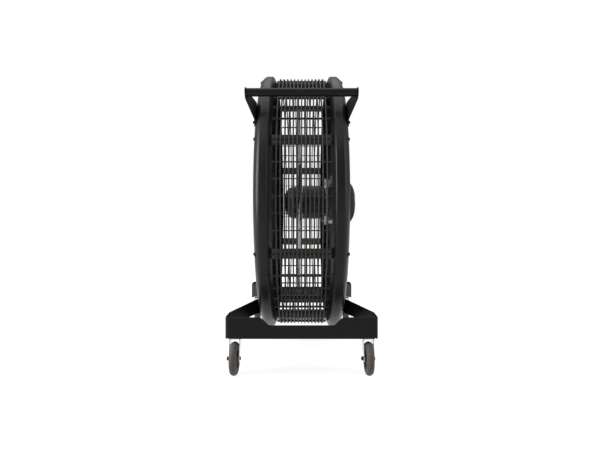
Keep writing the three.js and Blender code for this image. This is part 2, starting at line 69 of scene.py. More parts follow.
def corners(x0, y0, x1, y1):
    """The outline of a rectangle."""
    return [(x0, y0), (x1, y0), (x1, y1), (x0, y1)]


def bar_rows(start, end, radius):
    """The profile of a plain round bar, for lathe."""
    return [(start, 0), (start, radius), (end, radius), (end, 0)]


def lerp(a, b, t):
    return a + (b - a) * t


def smooth(t):
    t = min(max(t, 0.0), 1.0)
    return t * t * (3 - 2 * t)


def on_wheel(radius, degrees):
    """The (y, z) about the rotor's axis at an angle above -Y."""
    angle = math.radians(degrees)
    return -radius * math.cos(angle), radius * math.sin(angle)


def rounded(points, radius, steps=4, loop=True):
    """An outline with an arc at each corner. radius is one size, or one for each point."""
    sizes = radius if isinstance(radius, (list, tuple)) else [radius] * len(points)
    result = []
    for i, point in enumerate(points):
        corner = Vector(point)
        if sizes[i] <= 0 or (not loop and i in (0, len(points) - 1)):
            result.append(tuple(corner))
            continue
        back = Vector(points[i - 1]) - corner
        ahead = Vector(points[(i + 1) % len(points)]) - corner
        half = back.angle(ahead) / 2
        if half > math.radians(89):
            result.append(tuple(corner))
            continue
        reach = min(sizes[i] / math.tan(half), 0.49 * back.length, 0.49 * ahead.length)
        back.normalize()
        ahead.normalize()
        centre = corner + (back + ahead).normalized() * (reach / math.cos(half))
        start = corner + back * reach - centre
        end = corner + ahead * reach - centre
        first = math.atan2(start.y, start.x)
        sweep = (math.atan2(end.y, end.x) - first + math.pi) % TURN - math.pi
        for k in range(steps + 1):
            angle = first + sweep * k / steps
            across, up = start.length * math.cos(angle), start.length * math.sin(angle)
            result.append((centre.x + across, centre.y + up))
    return result


# ---- Forms: vertices and faces gathered for one mesh ----
class Form:
    def __init__(self):
        self.verts = []
        self.faces = []

    def add(self, shape, place=None):
        verts, faces = shape
        base = len(self.verts)
        self.verts += [place @ Vector(v) if place else Vector(v) for v in verts]
        self.faces += [[base + i for i in face] for face in faces]
        return self

    def mirrored(self):
        """The same form with its front and rear swapped."""
        other = Form()
        other.verts = [Vector((-v.x, v.y, v.z)) for v in self.verts]
        other.faces = self.faces
        return other


def move(x, y, z):
    return Matrix.Translation((x, y, z))


def spin_x(degrees):
    """Turns about the rotor's axis so that -Y goes up by this angle."""
    return Matrix.Rotation(math.radians(-degrees), 4, "X")


FACE_BACK = Matrix.Rotation(math.pi, 4, "Z")


def lathe(profile, segments, loop=False, hexed=()):
    """A turned form about X from (x, radius) points. The rows in hexed are six-sided."""
    verts, faces, rows = [], [], []
    for number, (x, radius) in enumerate(profile):
        if radius < 1e-7:
            rows.append([len(verts)] * segments)
            verts.append((x, 0, 0))
            continue
        rows.append(list(range(len(verts), len(verts) + segments)))
        for i in range(segments):
            angle = TURN * i / segments
            size = radius
            if number in hexed:
                size = radius * math.cos(math.pi / 6) / math.cos((angle % (math.pi / 3)) - math.pi / 6)
            verts.append((x, size * math.cos(angle), size * math.sin(angle)))
    pairs = list(zip(rows, rows[1:]))
    if loop:
        pairs.append((rows[-1], rows[0]))
    for low, high in pairs:
        for i in range(segments):
            j = (i + 1) % segments
            face = list(dict.fromkeys((low[i], low[j], high[j], high[i])))
            if len(face) > 2:
                faces.append(face)
    return verts, faces


def loft(sections, loop=False):
    """A skin over closed sections that all have the same number of points, with flat ends."""
    size, count = len(sections[0]), len(sections)
    verts = [point for section in sections for point in section]
    faces = []
    for k in range(count if loop else count - 1):
        low, high = k * size, ((k + 1) % count) * size
        for i in range(size):
            j = (i + 1) % size
            faces.append([low + i, low + j, high + j, high + i])
    if not loop:
        faces.append(list(range(size))[::-1])
        faces.append(list(range((count - 1) * size, count * size)))
    return verts, faces


def tube(path, radius, sides=8, loop=False):
    """A round bar along a path of points."""
    points = [Vector(point) for point in path]
    last = len(points) - 1
    normal = None
    sections = []
    for i, point in enumerate(points):
        before = points[i - 1] if i or loop else point
        after = points[(i + 1) % len(points)] if i < last or loop else point
        tangent = (after - before).normalized()
        if normal is None:
            normal = tangent.orthogonal().normalized()
        normal = (normal - tangent * normal.dot(tangent)).normalized()
        side = tangent.cross(normal)
        ring = [TURN * k / sides for k in range(sides)]
        sections.append([point + (normal * math.cos(a) + side * math.sin(a)) * radius for a in ring])
    return loft(sections, loop)


def slab(outline, low, high, axis="Z"):
    """A flat outline raised along an axis. The outline is (x, y), (y, z) for X, or (x, z) for Y."""
    order = {
        "X": lambda p, h: (h, p[0], p[1]),
        "Y": lambda p, h: (p[0], h, p[1]),
        "Z": lambda p, h: (p[0], p[1], h),
    }
    put = order[axis]
    return loft([[put(point, low) for point in outline], [put(point, high) for point in outline]])


def block(low, high, radius, steps=3):
    """A block with rounded upright edges, from its low corner to its high one."""
    outline = rounded(corners(low[0], low[1], high[0], high[1]), radius, steps)
    return slab(outline, low[2], high[2])


# ---- Pieces ----
def piece(name, form, look, slot, body, nodes=(), crease=35, bevel=0.0):
    """One visible piece: its mesh and material, the body that it rides on, the nodes it stands for."""
    mesh = bpy.data.meshes.new(name)
    mesh.from_pydata([tuple(v) for v in form.verts], [], form.faces)
    edit = bmesh.new()
    edit.from_mesh(mesh)
    bmesh.ops.recalc_face_normals(edit, faces=edit.faces)
    edit.to_mesh(mesh)
    edit.free()
    mesh.shade_smooth()
    mesh.set_sharp_from_angle(angle=math.radians(crease))
    mesh.materials.append(looks[look])
    shown = bpy.data.objects.new(name, mesh)
    bpy.context.scene.collection.objects.link(shown)
    if bevel:
        edge = shown.modifiers.new("edge", "BEVEL")
        edge.width = bevel
        edge.segments = 2
        edge.limit_method = "ANGLE"
        edge.angle_limit = math.radians(crease)
        edge.harden_normals = True
    settle(shown, body, nodes)
    return shown


def settle(shown, body, nodes):
    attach(shown, body)
    if nodes:
        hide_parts(*nodes)


def about_axis(name, form, look, slot, body, nodes=(), turn=0.0, **settings):
    """A piece whose form is given about the rotor's axis."""
    shown = piece(name, form, look, slot, body, nodes, **settings)
    shown.matrix_world = Matrix.Translation(AXIS) @ spin_x(turn)
    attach(shown, body)
    return shown


def copy_of(first, name, body, nodes, place):
    """Another piece with the same mesh in another place."""
    shown = bpy.data.objects.new(name, first.data)
    bpy.context.scene.collection.objects.link(shown)
    for edge in first.modifiers:
        same = shown.modifiers.new(edge.name, edge.type)
        for setting in ("width", "segments", "limit_method", "angle_limit", "harden_normals"):
            setattr(same, setting, getattr(edge, setting))
    shown.matrix_world = place
    settle(shown, body, nodes)
    return shown


# ---- Materials ----
def fill(tree, target, values):
    """Sets a node's inputs, each to a value or to another node's output."""
    for name, value in values.items():
        if isinstance(value, bpy.types.NodeSocket):
            tree.links.new(value, target.inputs[name])
        else:
            target.inputs[name].default_value = value
    return target


def node(tree, kind, values, **options):
    """A new shader node. Its options are set first, because they decide which inputs it has."""
    made = tree.nodes.new(f"ShaderNode{kind}")
    for option, value in options.items():
        setattr(made, option, value)
    return fill(tree, made, values)


def surface(
    name, colours, roughness, metallic=0.0, specular=0.5, mottle=18.0,
    grain=600.0, depth=0.0002, stretch=(1, 1, 1), spangle=0.0, dust_and_sheen=0.0,
):
    """A material whose colour and roughness drift between two values, with a fine grain raised from it."""
    made = bpy.data.materials.new(name)
    made.use_nodes = True
    tree = made.node_tree
    place = node(tree, "TexCoord", {}).outputs["Object"]
    place = node(tree, "Mapping", {"Scale": stretch, "Vector": place}).outputs["Vector"]
    values = {"Scale": mottle, "Detail": 6.0, "Roughness": 0.6, "Vector": place}
    drift = node(tree, "TexNoise", values).outputs["Fac"]
    values = {"From Min": 0.35, "From Max": 0.65, "Value": drift}
    share = node(tree, "MapRange", values).outputs["Result"]
    if spangle:
        cells = node(tree, "TexVoronoi", {"Scale": spangle, "Vector": place})
        tone = node(tree, "SeparateColor", {"Color": cells.outputs["Color"]})
        drifted = node(tree, "Math", {0: share, 1: 0.4}, operation="MULTIPLY")
        values = {0: tone.outputs["Red"], 1: 0.6, 2: drifted.outputs["Value"]}
        share = node(tree, "Math", values, operation="MULTIPLY_ADD").outputs["Value"]
    values = {"A": (*colours[0], 1), "B": (*colours[1], 1), "Factor": share}
    colour = node(tree, "Mix", values, data_type="RGBA").outputs["Result"]
    if dust_and_sheen:
        # A pale tint on upward faces: a little dust and a painted highlight from above.
        colour = dust_and_top_sheen(tree, colour, drift, dust_and_sheen)
    values = {"To Min": roughness[0], "To Max": roughness[1], "Value": share}
    gloss = node(tree, "MapRange", values)
    fine = node(tree, "TexNoise", {"Scale": grain, "Detail": 3.0, "Vector": place})
    values = {"Strength": 0.6, "Distance": depth, "Height": fine.outputs["Fac"]}
    relief = node(tree, "Bump", values)
    values = {
        "Metallic": metallic,
        "Specular IOR Level": specular,
        "Base Color": colour,
        "Roughness": gloss.outputs["Result"],
        "Normal": relief.outputs["Normal"],
    }
    fill(tree, tree.nodes["Principled BSDF"], values)
    return made


def dust_and_top_sheen(tree, colour, noise, amount):
    """A pale tint where a surface faces up, patchy with the noise: a little dust, and a painted highlight of
    the light from above.
    """
    facing = node(tree, "NewGeometry", {}).outputs["Normal"]
    parts = node(tree, "SeparateXYZ", {"Vector": facing})
    values = {"From Min": 0.3, "To Max": amount, "Value": parts.outputs["Z"]}
    upward = node(tree, "MapRange", values).outputs["Result"]
    patchy = node(tree, "Math", {0: upward, 1: noise}, operation="MULTIPLY").outputs["Value"]
    # The pale brownish colour is a painted highlight of the light from above, mixed with a little dust.
    values = {"A": colour, "B": (0.32, 0.29, 0.25, 1), "Factor": patchy}
    return node(tree, "Mix", values, data_type="RGBA").outputs["Result"]


looks = {
    "shell": surface(
        "moulded_shell", [(0.0060, 0.0060, 0.0062), (0.0090, 0.0088, 0.0085)], (0.30, 0.40),
        specular=0.16, mottle=9, grain=850, depth=0.00012, dust_and_sheen=0.05,
    ),
    "cage": surface(
        "moulded_cage", [(0.034, 0.0322, 0.0300), (0.047, 0.0448, 0.0418)], (0.42, 0.54),
        specular=0.18, mottle=14, grain=900, depth=0.0001, dust_and_sheen=0.04,
    ),
    "powder": surface(
        "powder_coat", [(0.0040, 0.0040, 0.0041), (0.0062, 0.0062, 0.0063)], (0.34, 0.44),
        specular=0.13, mottle=20, grain=420, depth=0.0002, dust_and_sheen=0.03,
    ),
    "wire": surface(
        "coated_wire", [(0.0075, 0.0075, 0.0076), (0.0110, 0.0108, 0.0104)], (0.38, 0.48),
        specular=0.16, mottle=30, grain=500, depth=0.0001,
    ),
    "oxide": surface(
        "black_oxide", [(0.012, 0.012, 0.013), (0.024, 0.023, 0.022)], (0.34, 0.5),
        metallic=0.3, specular=0.2, mottle=120, grain=900, depth=0.00006,
    ),
    "enamel": surface(
        "motor_enamel", [(0.0085, 0.0080, 0.0072), (0.0150, 0.0138, 0.0120)], (0.24, 0.36),
        specular=0.30, mottle=24, grain=260, depth=0.0002,
    ),
    "zinc": surface(
        "zinc_plate", [(0.44, 0.46, 0.50), (0.68, 0.70, 0.74)], (0.22, 0.40),
        metallic=1.0, mottle=30, grain=300, depth=0.00008, spangle=140,
    ),
    "bright": surface(
        "bright_zinc", [(0.56, 0.57, 0.59), (0.76, 0.77, 0.79)], (0.16, 0.30),
        metallic=1.0, mottle=45, grain=500, depth=0.00005, spangle=220,
    ),
    "blade": surface(
        "rolled_aluminium", [(0.50, 0.515, 0.54), (0.66, 0.675, 0.70)], (0.24, 0.38),
        metallic=1.0, mottle=10, grain=160, depth=0.00008, stretch=(6, 6, 0.35),
    ),
    "tyre": surface(
        "grey_rubber", [(0.036, 0.030, 0.0245), (0.060, 0.051, 0.0425)], (0.55, 0.75),
        specular=0.35, mottle=60, grain=1400, depth=0.00015, dust_and_sheen=0.12,
    ),
    "core": surface(
        "wheel_core", [(0.010, 0.010, 0.010), (0.018, 0.017, 0.016)], (0.4, 0.55),
        specular=0.4, mottle=60, grain=1200, depth=0.00008,
    ),
}


# ---- Fasteners ----
def button_head(radius, height):
    """A button head with a six-sided socket on a washer. It stands on X = 0 and points to +X."""
    washer = 0.2 * height
    rim = [(0, 0), (0, radius), (washer * 0.8, radius), (washer, radius * 0.96), (washer, radius * 0.8)]
    dome = []
    for angle in (0.2, 0.5, 0.8, 1.1, 1.4):
        dome.append((lerp(washer, height, math.sin(angle)), radius * (0.44 + 0.36 * math.cos(angle))))
    socket = [(height, radius * 0.44), (height * 0.5, radius * 0.42), (height * 0.5, 0)]
    rows = rim + dome + socket
    return lathe(rows, 24, hexed=(len(rows) - 3, len(rows) - 2))


def hex_head(across, height, washer=1.3, washer_height=0.0012):
    """A hexagon head or nut on a round washer, with its corners chamfered."""
    base = washer_height
    rows = [
        (0, 0),
        (0, across * washer),
        (base, across * washer),
        (base, across),
        (base + height * 0.85, across),
        (base + height, across * 0.84),
        (base + height, across * 0.42),
        (base + height * 1.12, across * 0.36),
        (base + height * 1.12, 0),
    ]
    return lathe(rows, 24, hexed=(3, 4))


def face_x(side):
    """For side -1, turns a form that points to +X so that it points to -X."""
    return Matrix.Identity(4) if side > 0 else FACE_BACK


# ---- Hoops ----
BOLT_DROP = 26 * MM  # from the rim down to the bolts
HEAD_HEIGHT = 5.5 * MM
HEAD_RADIUS = 7.5 * MM
ROD_RADIUS = 4.9 * MM


def hoop_form():
    low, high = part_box("rear_hoop")
    inner, face, rim = low.x, high.x, high.y
    wall = 6 * MM
    band = inner + 40 * MM
    bulge = []
    start, end = Vector((band, rim)), Vector((face, rim - 62 * MM))
    pull = Vector((face - 0.5 * MM, rim - 11 * MM))
    for k in range(1, 17):
        t = k / 16
        bulge.append(tuple(start * (1 - t) ** 2 + pull * 2 * t * (1 - t) + end * t**2))
    lip = in_mm((-0.6, 92), (-0.8, 101), (-2.5, 105), (-6, 105))
    lip = [(face + x, rim - down) for x, down in lip]
    outer = in_mm((0, 31), (0, 29), (12.5, 3.0), (14.5, 1.2), (16.5, 0))
    outer = [(inner + x, rim - down) for x, down in outer] + [(band, rim)]
    outer = rounded(outer, mm(0.8, 1.5, 0.4, 0.6, 1.2, 0), loop=False)
    inside = [(x - wall * 0.9, r - wall * 0.45) for x, r in reversed(bulge[3:])]
    back = [
        (face - 8 * MM, rim - 101 * MM),
        *inside,
        (band - 2 * MM, rim - wall),
        (inner + 18 * MM, rim - wall),
        (inner + 4 * MM, rim - 29.5 * MM),
        (inner + 3 * MM, rim - 31 * MM),
    ]
    form = Form().add(lathe([*outer, *bulge, *lip, *back], 224, loop=True))
    for k in range(1, PANELS + 1):
        rod_low, rod_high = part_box(f"tie_rod_{k}")
        seat, middle = rod_high.x - HEAD_HEIGHT, (rod_low + rod_high) / 2 - AXIS
        if seat < face + 1 * MM:
            boss = [(seat - 12 * MM, 13 * MM), (seat - 1.4 * MM, 11 * MM), (seat, 9.6 * MM), (seat, 0)]
            form.add(lathe(boss, 24), move(0, middle.y, middle.z))
    return form


def add_hoops():
    form = hoop_form()
    about_axis("rear_hoop_shell", form, "shell", "shell", "root", ["rear_hoop"], crease=28)
    about_axis("front_hoop_shell", form.mirrored(), "shell", "shell", "root", ["front_hoop"], crease=28)


# ---- Side cage ----
RINGS = 13
RING_PITCH = 15.5 * MM
CROSS_RIBS = 5
CROSS_PITCH = 6.43
BAND_WIDTH = 19 * MM


def ring_section(x, radius, half, flare):
    """A ring's cross-section, a wedge with a rounded outer edge, as (x, radius) points."""
    foot, crest = half * (1.1 + 0.45 * flare), half * (0.85 + 0.35 * flare)
    inner = radius - 21 * MM
    return [
        (x - foot, inner),
        (x - foot, radius - 6 * MM),
        (x - crest, radius - 1.6 * MM),
        (x - crest * 0.5, radius - 0.2 * MM),
        (x + crest * 0.5, radius - 0.2 * MM),
        (x + crest, radius - 1.6 * MM),
        (x + foot, radius - 6 * MM),
        (x + foot, inner),
    ]


def panel_form():
    low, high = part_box("side_panel_1")
    radius, half_width = -low.y, high.x
    half = PANEL_ANGLE / 2 - 0.03
    band_radius = radius - 15 * MM
    band_angle = math.degrees(BAND_WIDTH / band_radius)
    form = Form()
    steps = 40
    for ring in range(RINGS):
        x = (ring - (RINGS - 1) / 2) * RING_PITCH
        sections = []
        for k in range(steps + 1):
            degrees = lerp(-half, half, k / steps)
            edge = abs(abs(degrees) - half + band_angle / 2) / (band_angle / 2)
            flare = 0.7 * smooth((edge - 0.55) / 0.35) * smooth((1.35 - edge) / 0.35)
            rows = ring_section(x, radius, 2.5 * MM, flare)
            sections.append([(px, *on_wheel(r, degrees)) for px, r in rows])
        form.add(loft(sections))
    for k in range(CROSS_RIBS):
        degrees = (k - (CROSS_RIBS - 1) / 2) * CROSS_PITCH
        outline = rounded([mm(-1.5, -9), mm(1.5, -9), mm(1.1, 0), mm(-1.1, 0)], 0.7 * MM, 2)
        rib = slab([(radius - 6.5 * MM + up, across) for across, up in outline], -half_width, half_width, "X")
        form.add(rib, spin_x(degrees) @ Matrix.Rotation(math.pi, 4, "Z"))
    for side in (-1, 1):
        middle = side * (half - band_angle / 2)
        sections = []
        for degrees in [lerp(middle - band_angle / 2, middle + band_angle / 2, k / 6) for k in range(7)]:
            crown = 1 - ((degrees - middle) / (band_angle / 2)) ** 4
            outer = band_radius + 0.8 * MM * crown
            rows = [(-half_width, band_radius - 10 * MM), (-half_width, outer), (half_width, outer)]
            rows.append((half_width, band_radius - 10 * MM))
            sections.append([(px, *on_wheel(r, degrees)) for px, r in rows])
        form.add(loft(sections))
    return form


def add_panels():
    first = None
    for k in range(PANELS):
        place = Matrix.Translation(AXIS) @ spin_x(k * PANEL_ANGLE)
        name, node = f"side_cage_{k + 1}", f"side_panel_{k + 1}"
        if first is None:
            first = about_axis(name, panel_form(), "cage", "cage", "root", [node])
        else:
            copy_of(first, name, "root", [node], place)


def add_tie_rods():
    for k in range(1, PANELS + 1):
        low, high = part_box(f"tie_rod_{k}")
        seat = high.x - HEAD_HEIGHT
        form = Form().add(lathe(bar_rows(-seat, seat, ROD_RADIUS), 24))
        for side in (-1, 1):
            form.add(button_head(HEAD_RADIUS, HEAD_HEIGHT), move(side * seat, 0, 0) @ face_x(side))
        rod = piece(f"cage_rod_{k}", form, "oxide", "fastener", "root", [f"tie_rod_{k}"])
        rod.location = (low + high) / 2
        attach(rod, "root")


# ---- Front and rear guards ----
GUARD_PITCH = 15.2 * MM
GUARD_ARMS = 12
GUARD_TWIST = 26


def guard_form():
    low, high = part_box("rear_grille")
    back, front, rim = low.x, high.x, high.y
    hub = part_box("rear_dome")[1].y
    form = Form()
    edge = rounded(corners(back, rim - 9 * MM, front, rim), 2.5 * MM, 3)
    form.add(lathe(edge, 160, loop=True))
    inner = rounded(corners(back, hub - 4 * MM, back + 6 * MM, hub + 3 * MM), 1.5 * MM, 3)
    form.add(lathe(inner, 96, loop=True))
    wire = 1.7 * MM
    wire_x = back + 5.6 * MM
    radius = hub + GUARD_PITCH
    while radius < rim - 12 * MM:
        turns = [TURN * k / 8 for k in range(8)]
        sides = [(wire_x + wire * math.cos(a), radius + wire * math.sin(a)) for a in turns]
        form.add(lathe(sides, 128, loop=True))
        radius += GUARD_PITCH
    for k in range(GUARD_ARMS):
        path = []
        for step in range(25):
            t = step / 24
            degrees = k * 360 / GUARD_ARMS + GUARD_TWIST * math.sin(t * math.pi / 2)
            path.append((back + 2.4 * MM, *on_wheel(lerp(hub, rim - 7 * MM, t), degrees)))
        form.add(tube(path, 2.2 * MM, 10))
    return form


def add_guards():
    form = guard_form()
    about_axis("rear_guard", form, "wire", "cage", "root", ["rear_grille"], crease=50)
    about_axis("front_guard", form.mirrored(), "wire", "cage", "root", ["front_grille"], crease=50)
    low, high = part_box("front_cap")
    near, far, radius = low.x, high.x, high.y
    deep = far - near
    rows = [
        (far, 0),
        (far, radius - 1 * MM),
        (far - 1 * MM, radius),
        (near + deep * 0.45, radius - 3 * MM),
        (near + deep * 0.30, radius - 8 * MM),
        (near + deep * 0.30, radius * 0.82),
        (near + deep * 0.12, radius * 0.79),
        (near, radius * 0.70),
        (near, 0),
    ]
    cap = Form().add(lathe(rows, 128))
    for k in range(4):
        y, z = on_wheel(radius * 0.90, 45 + k * 90)
        cap.add(button_head(5 * MM, deep * 0.55), move(near + deep * 0.32, y, z) @ FACE_BACK)
    about_axis("front_cap_disc", cap, "shell", "shell", "root", ["front_cap"])


# ---- Rear cover ----
DOME_RIBS = 44
DOME_TWIST = 62


def dome_point(share, base, height, radius):
    """The dome's (x, radius) at a share of the way from its rim to its tip."""
    angle = share * math.pi / 2
    return base + height * math.sin(angle) ** 0.92, radius * math.cos(angle) ** 0.62


def add_rear_cover():
    low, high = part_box("rear_dome")
    base, height, radius = low.x, high.x - low.x, high.y
    rows = [(base, radius - 6 * MM), (base, radius), (base + 3 * MM, radius)]
    rows += [dome_point(k / 24, base + 3 * MM, height - 7 * MM, radius - 4 * MM) for k in range(25)]
    rows[-1] = (rows[-1][0], 0)
    dome, ribs = Form().add(lathe(rows, 128)), Form()
    for k in range(DOME_RIBS):
        path = []
        for step in range(21):
            t = lerp(0.05, 0.9, step / 20)
            x, r = dome_point(t, base + 3 * MM, height - 4.5 * MM, radius - 1.5 * MM)
            path.append((x, *on_wheel(r, k * 360 / DOME_RIBS + DOME_TWIST * t)))
        ribs.add(tube(path, 1.5 * MM, 8))
    tip = [(high.x + x, radius) for x, radius in in_mm((-8, 0), (-8, 26), (-3, 25), (-1, 20), (0, 0))]
    dome.add(lathe(tip, 48))
    about_axis("rear_dome_cover", dome, "shell", "shell", "root", ["rear_dome"])
    about_axis("rear_dome_swirl", ribs, "cage", "shell", "root")
    add_terminal_box()


def add_terminal_box():
    low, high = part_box("terminal_box")
    lid = 5 * MM
    box = Form().add(block((low.x, low.y, low.z), (high.x - lid - 0.6 * MM, high.y, high.z), 6 * MM))
    cover = corners(low.y, low.z, high.y, high.z)
    box.add(slab(rounded(cover, 5 * MM), high.x - lid, high.x, "X"))
    for y in (low.y + 8 * MM, high.y - 8 * MM):
        box.add(button_head(3.6 * MM, 2 * MM), move(high.x - 0.2 * MM, y, (low.z + high.z) / 2))
    piece("terminal_box_case", box, "shell", "shell", "root", ["terminal_box"], bevel=1 * MM)
    low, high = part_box("cord_gland")
    centre, radius, length = (low + high) / 2, (high.x - low.x) / 2, high.z - low.z
    rows = [
        (0, 0),
        (0, radius * 0.99),
        (length * 0.28, radius * 0.99),
        (length * 0.30, radius * 0.86),
        (length * 0.38, radius * 0.86),
        (length * 0.40, radius * 0.97),
        (length * 0.72, radius * 0.97),
        (length * 0.90, radius * 0.72),
        (length, radius * 0.58),
        (length * 0.97, radius * 0.42),
        (length * 0.6, radius * 0.40),
        (length * 0.6, 0),
    ]
    gland = Form().add(lathe(rows, 36, hexed=(1, 2)))
    shown = piece("cord_gland_nut", gland, "shell", "shell", "root", ["cord_gland"])
    shown.matrix_world = move(centre.x, centre.y, high.z) @ Matrix.Rotation(math.pi / 2, 4, "Y")
    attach(shown, "root")


# ---- Motor ----
SHAFT_BORE = 9.4 * MM
CLAMP_REACH = 58 * MM


def add_motor():
    low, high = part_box("motor_body")
    radius = high.z - AXIS.z
    beads = [low.x + 6 * MM, high.x - 6 * MM]
    rows = [(low.x, 0), (low.x, radius - 1.5 * MM), (low.x + 1 * MM, radius - 0.4 * MM)]
    for x in beads:
        for along, sunk in in_mm((-2.5, 0.4), (-1, 0), (1, 0), (2.5, 0.4)):
            rows.append((x + along, radius - sunk))
    rows += [(high.x - 1 * MM, radius - 0.4 * MM), (high.x, radius - 1.5 * MM), (high.x, 0)]
    shell = Form().add(lathe(rows, 96))
    about_axis("motor_shell", shell, "enamel", "motor", "root", ["motor_body"])
    add_motor_ends(radius)


def add_motor_ends(radius):
    low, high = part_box("motor_front_bell")
    rows = rounded(
        [
            (high.x, SHAFT_BORE),
            (low.x, SHAFT_BORE),
            (low.x, radius * 0.30),
            (low.x + 3 * MM, radius * 0.36),
            (low.x + 3 * MM, radius * 0.66),
            (low.x + 0.4 * MM, radius * 0.74),
            (low.x + 0.4 * MM, radius * 0.925),
            (low.x - 2.2 * MM, radius * 0.94),
            (low.x - 2.2 * MM, radius * 0.985),
            (low.x + 2 * MM, radius),
            (high.x, radius),
        ],
        2 * MM,
        3,
    )
    front = Form().add(lathe(rows, 96, loop=True))
    for k in range(24):
        near, far = radius * 0.36, radius * 0.68
        outline = [(-1.2 * MM, near), (1.2 * MM, near), (1.6 * MM, far), (-1.6 * MM, far)]
        front.add(slab(outline, low.x + 1.4 * MM, low.x + 3.4 * MM, "X"), spin_x(k * 15))
    for k in range(4):
        y, z = on_wheel(radius * 0.86, 45 + k * 90)
        head = hex_head(4.5 * MM, 1.4 * MM, washer_height=0.4 * MM)
        front.add(head, move(low.x + 0.6 * MM, y, z) @ FACE_BACK)
    about_axis("motor_front_end", front, "enamel", "motor", "root", ["motor_front_bell"])
    low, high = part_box("motor_rear_bell")
    rows = rounded(
        [
            (low.x, 0),
            (low.x, radius),
            (low.x + 9 * MM, radius),
            (low.x + 16 * MM, radius * 0.90),
            (high.x - 3 * MM, radius * 0.80),
            (high.x, radius * 0.70),
            (high.x, 0),
        ],
        mm(0, 1, 5, 6, 4, 3, 0),
        4,
    )
    rear = Form().add(lathe(rows, 96))
    for k in range(20):
        fin = corners(-1.5 * MM, radius - 12 * MM, 1.5 * MM, radius + 1.2 * MM)
        rear.add(slab(fin, low.x + 3 * MM, low.x + 20 * MM, "X"), spin_x(k * 18))
    about_axis("motor_rear_end", rear, "enamel", "motor", "root", ["motor_rear_bell"])


def add_motor_mount():
    low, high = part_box("motor_plate")
    outline = rounded(corners(low.y, low.z, high.y, high.z), 12 * MM, 6)
    plate = Form().add(slab(outline, low.x, high.x, "X"))
    for y in (-1, 1):
        for z in (-1, 1):
            place = move(high.x, y * 45 * MM, AXIS.z + z * 45 * MM)
            plate.add(hex_head(6.5 * MM, 5 * MM), place)
    piece("motor_mount_plate", plate, "zinc", "zinc", "root", ["motor_plate"], bevel=0.8 * MM)
    for name in ("upper", "lower"):
        low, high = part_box(f"motor_rail_{name}")
        radius, length = (high.x - low.x) / 2, high.y - low.y
        wall = radius - 2.2 * MM
        rows = [(0, wall), (0, radius), (length, radius), (length, wall)]
        rail = Form().add(lathe(rounded(rows, 0.7 * MM, 2), 40, loop=True))
        shown = piece(f"motor_rail_tube_{name}", rail, "zinc", "zinc", "root", [f"motor_rail_{name}"])
        centre = (low + high) / 2
        shown.matrix_world = move(centre.x, low.y, centre.z) @ Matrix.Rotation(math.pi / 2, 4, "Z")
        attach(shown, "root")
        add_rail_clamps(name, centre, radius)


def add_rail_clamps(name, centre, radius):
    """Bent round bars that hold a rail against the motor plate, with a nut on each leg."""
    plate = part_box("motor_plate")
    bar = 3 * MM
    loop = radius + bar + 0.2 * MM
    clamps = Form()
    for y in (-CLAMP_REACH, CLAMP_REACH):
        turns = [math.radians(degrees) for degrees in range(-90, 91, 15)]
        bend = [(math.cos(a) * loop, math.sin(a) * loop) for a in turns]
        end = plate[0].x - 9 * MM - centre.x
        legs = [(end, -loop), *bend, (end, loop)]
        clamps.add(tube([(x, 0, z) for x, z in legs], bar, 12), move(centre.x, y, centre.z))
        for side in (-1, 1):
            place = move(plate[0].x - 0.2 * MM, y, centre.z + side * loop) @ FACE_BACK
            clamps.add(hex_head(5.5 * MM, 4.5 * MM), place)
    piece(f"rail_clamps_{name}", clamps, "bright", "zinc", "root")


# ---- Rotor ----
# From the hub's back to its tip: shares of its length and its radius.
HUB_NOSE = ((0, 1), (0.30, 1), (0.52, 0.965), (0.72, 0.87), (0.87, 0.70), (0.955, 0.50), (1, 0.26), (1, 0))


def add_rotor():
    low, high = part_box("shaft")
    radius = high.z - AXIS.z
    rows = rounded(bar_rows(low.x, high.x, radius), mm(0, 1, 1, 0), 3)
    about_axis("rotor_shaft", Form().add(lathe(rows, 48)), "zinc", "zinc", "rotor", ["shaft"])
    low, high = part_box("hub")
    radius, length = high.z - AXIS.z, high.x - low.x
    back = high.x + 1.2 * MM
    rows = [(back, SHAFT_BORE), (back, radius * 0.62), (high.x, radius * 0.66), (high.x, radius * 0.99)]
    nose = [(high.x - 1.5 * MM - x * (length - 1.5 * MM), r * radius) for x, r in HUB_NOSE]
    rows += rounded(nose, 9 * MM, 5, loop=False)
    rows += [(low.x + 26 * MM, 0), (low.x + 26 * MM, SHAFT_BORE)]
    hub = Form().add(lathe(dedupe(rows), 112))
    for k in range(6):
        y, z = on_wheel(radius * 0.52, 30 + k * 60)
        hub.add(button_head(6 * MM, 5 * MM), move(low.x + 4.5 * MM, y, z) @ FACE_BACK)
    about_axis("rotor_hub", hub, "enamel", "motor", "rotor", ["hub"])
    add_blades(radius)


def dedupe(rows):
    """The rows without any that repeats the one before it."""
    result = [rows[0]]
    for row in rows[1:]:
        if (Vector(row) - Vector(result[-1])).length > 1e-6:
            result.append(row)
    return result


BLADES = 4
BLADE_LEAD = -10
BLADE_PLANE = -11 * MM
BLADE_CHORDS = (110, 80)  # millimetres, at the root and at the tip
BLADE_PITCHES = (11, 8.5)  # degrees, likewise


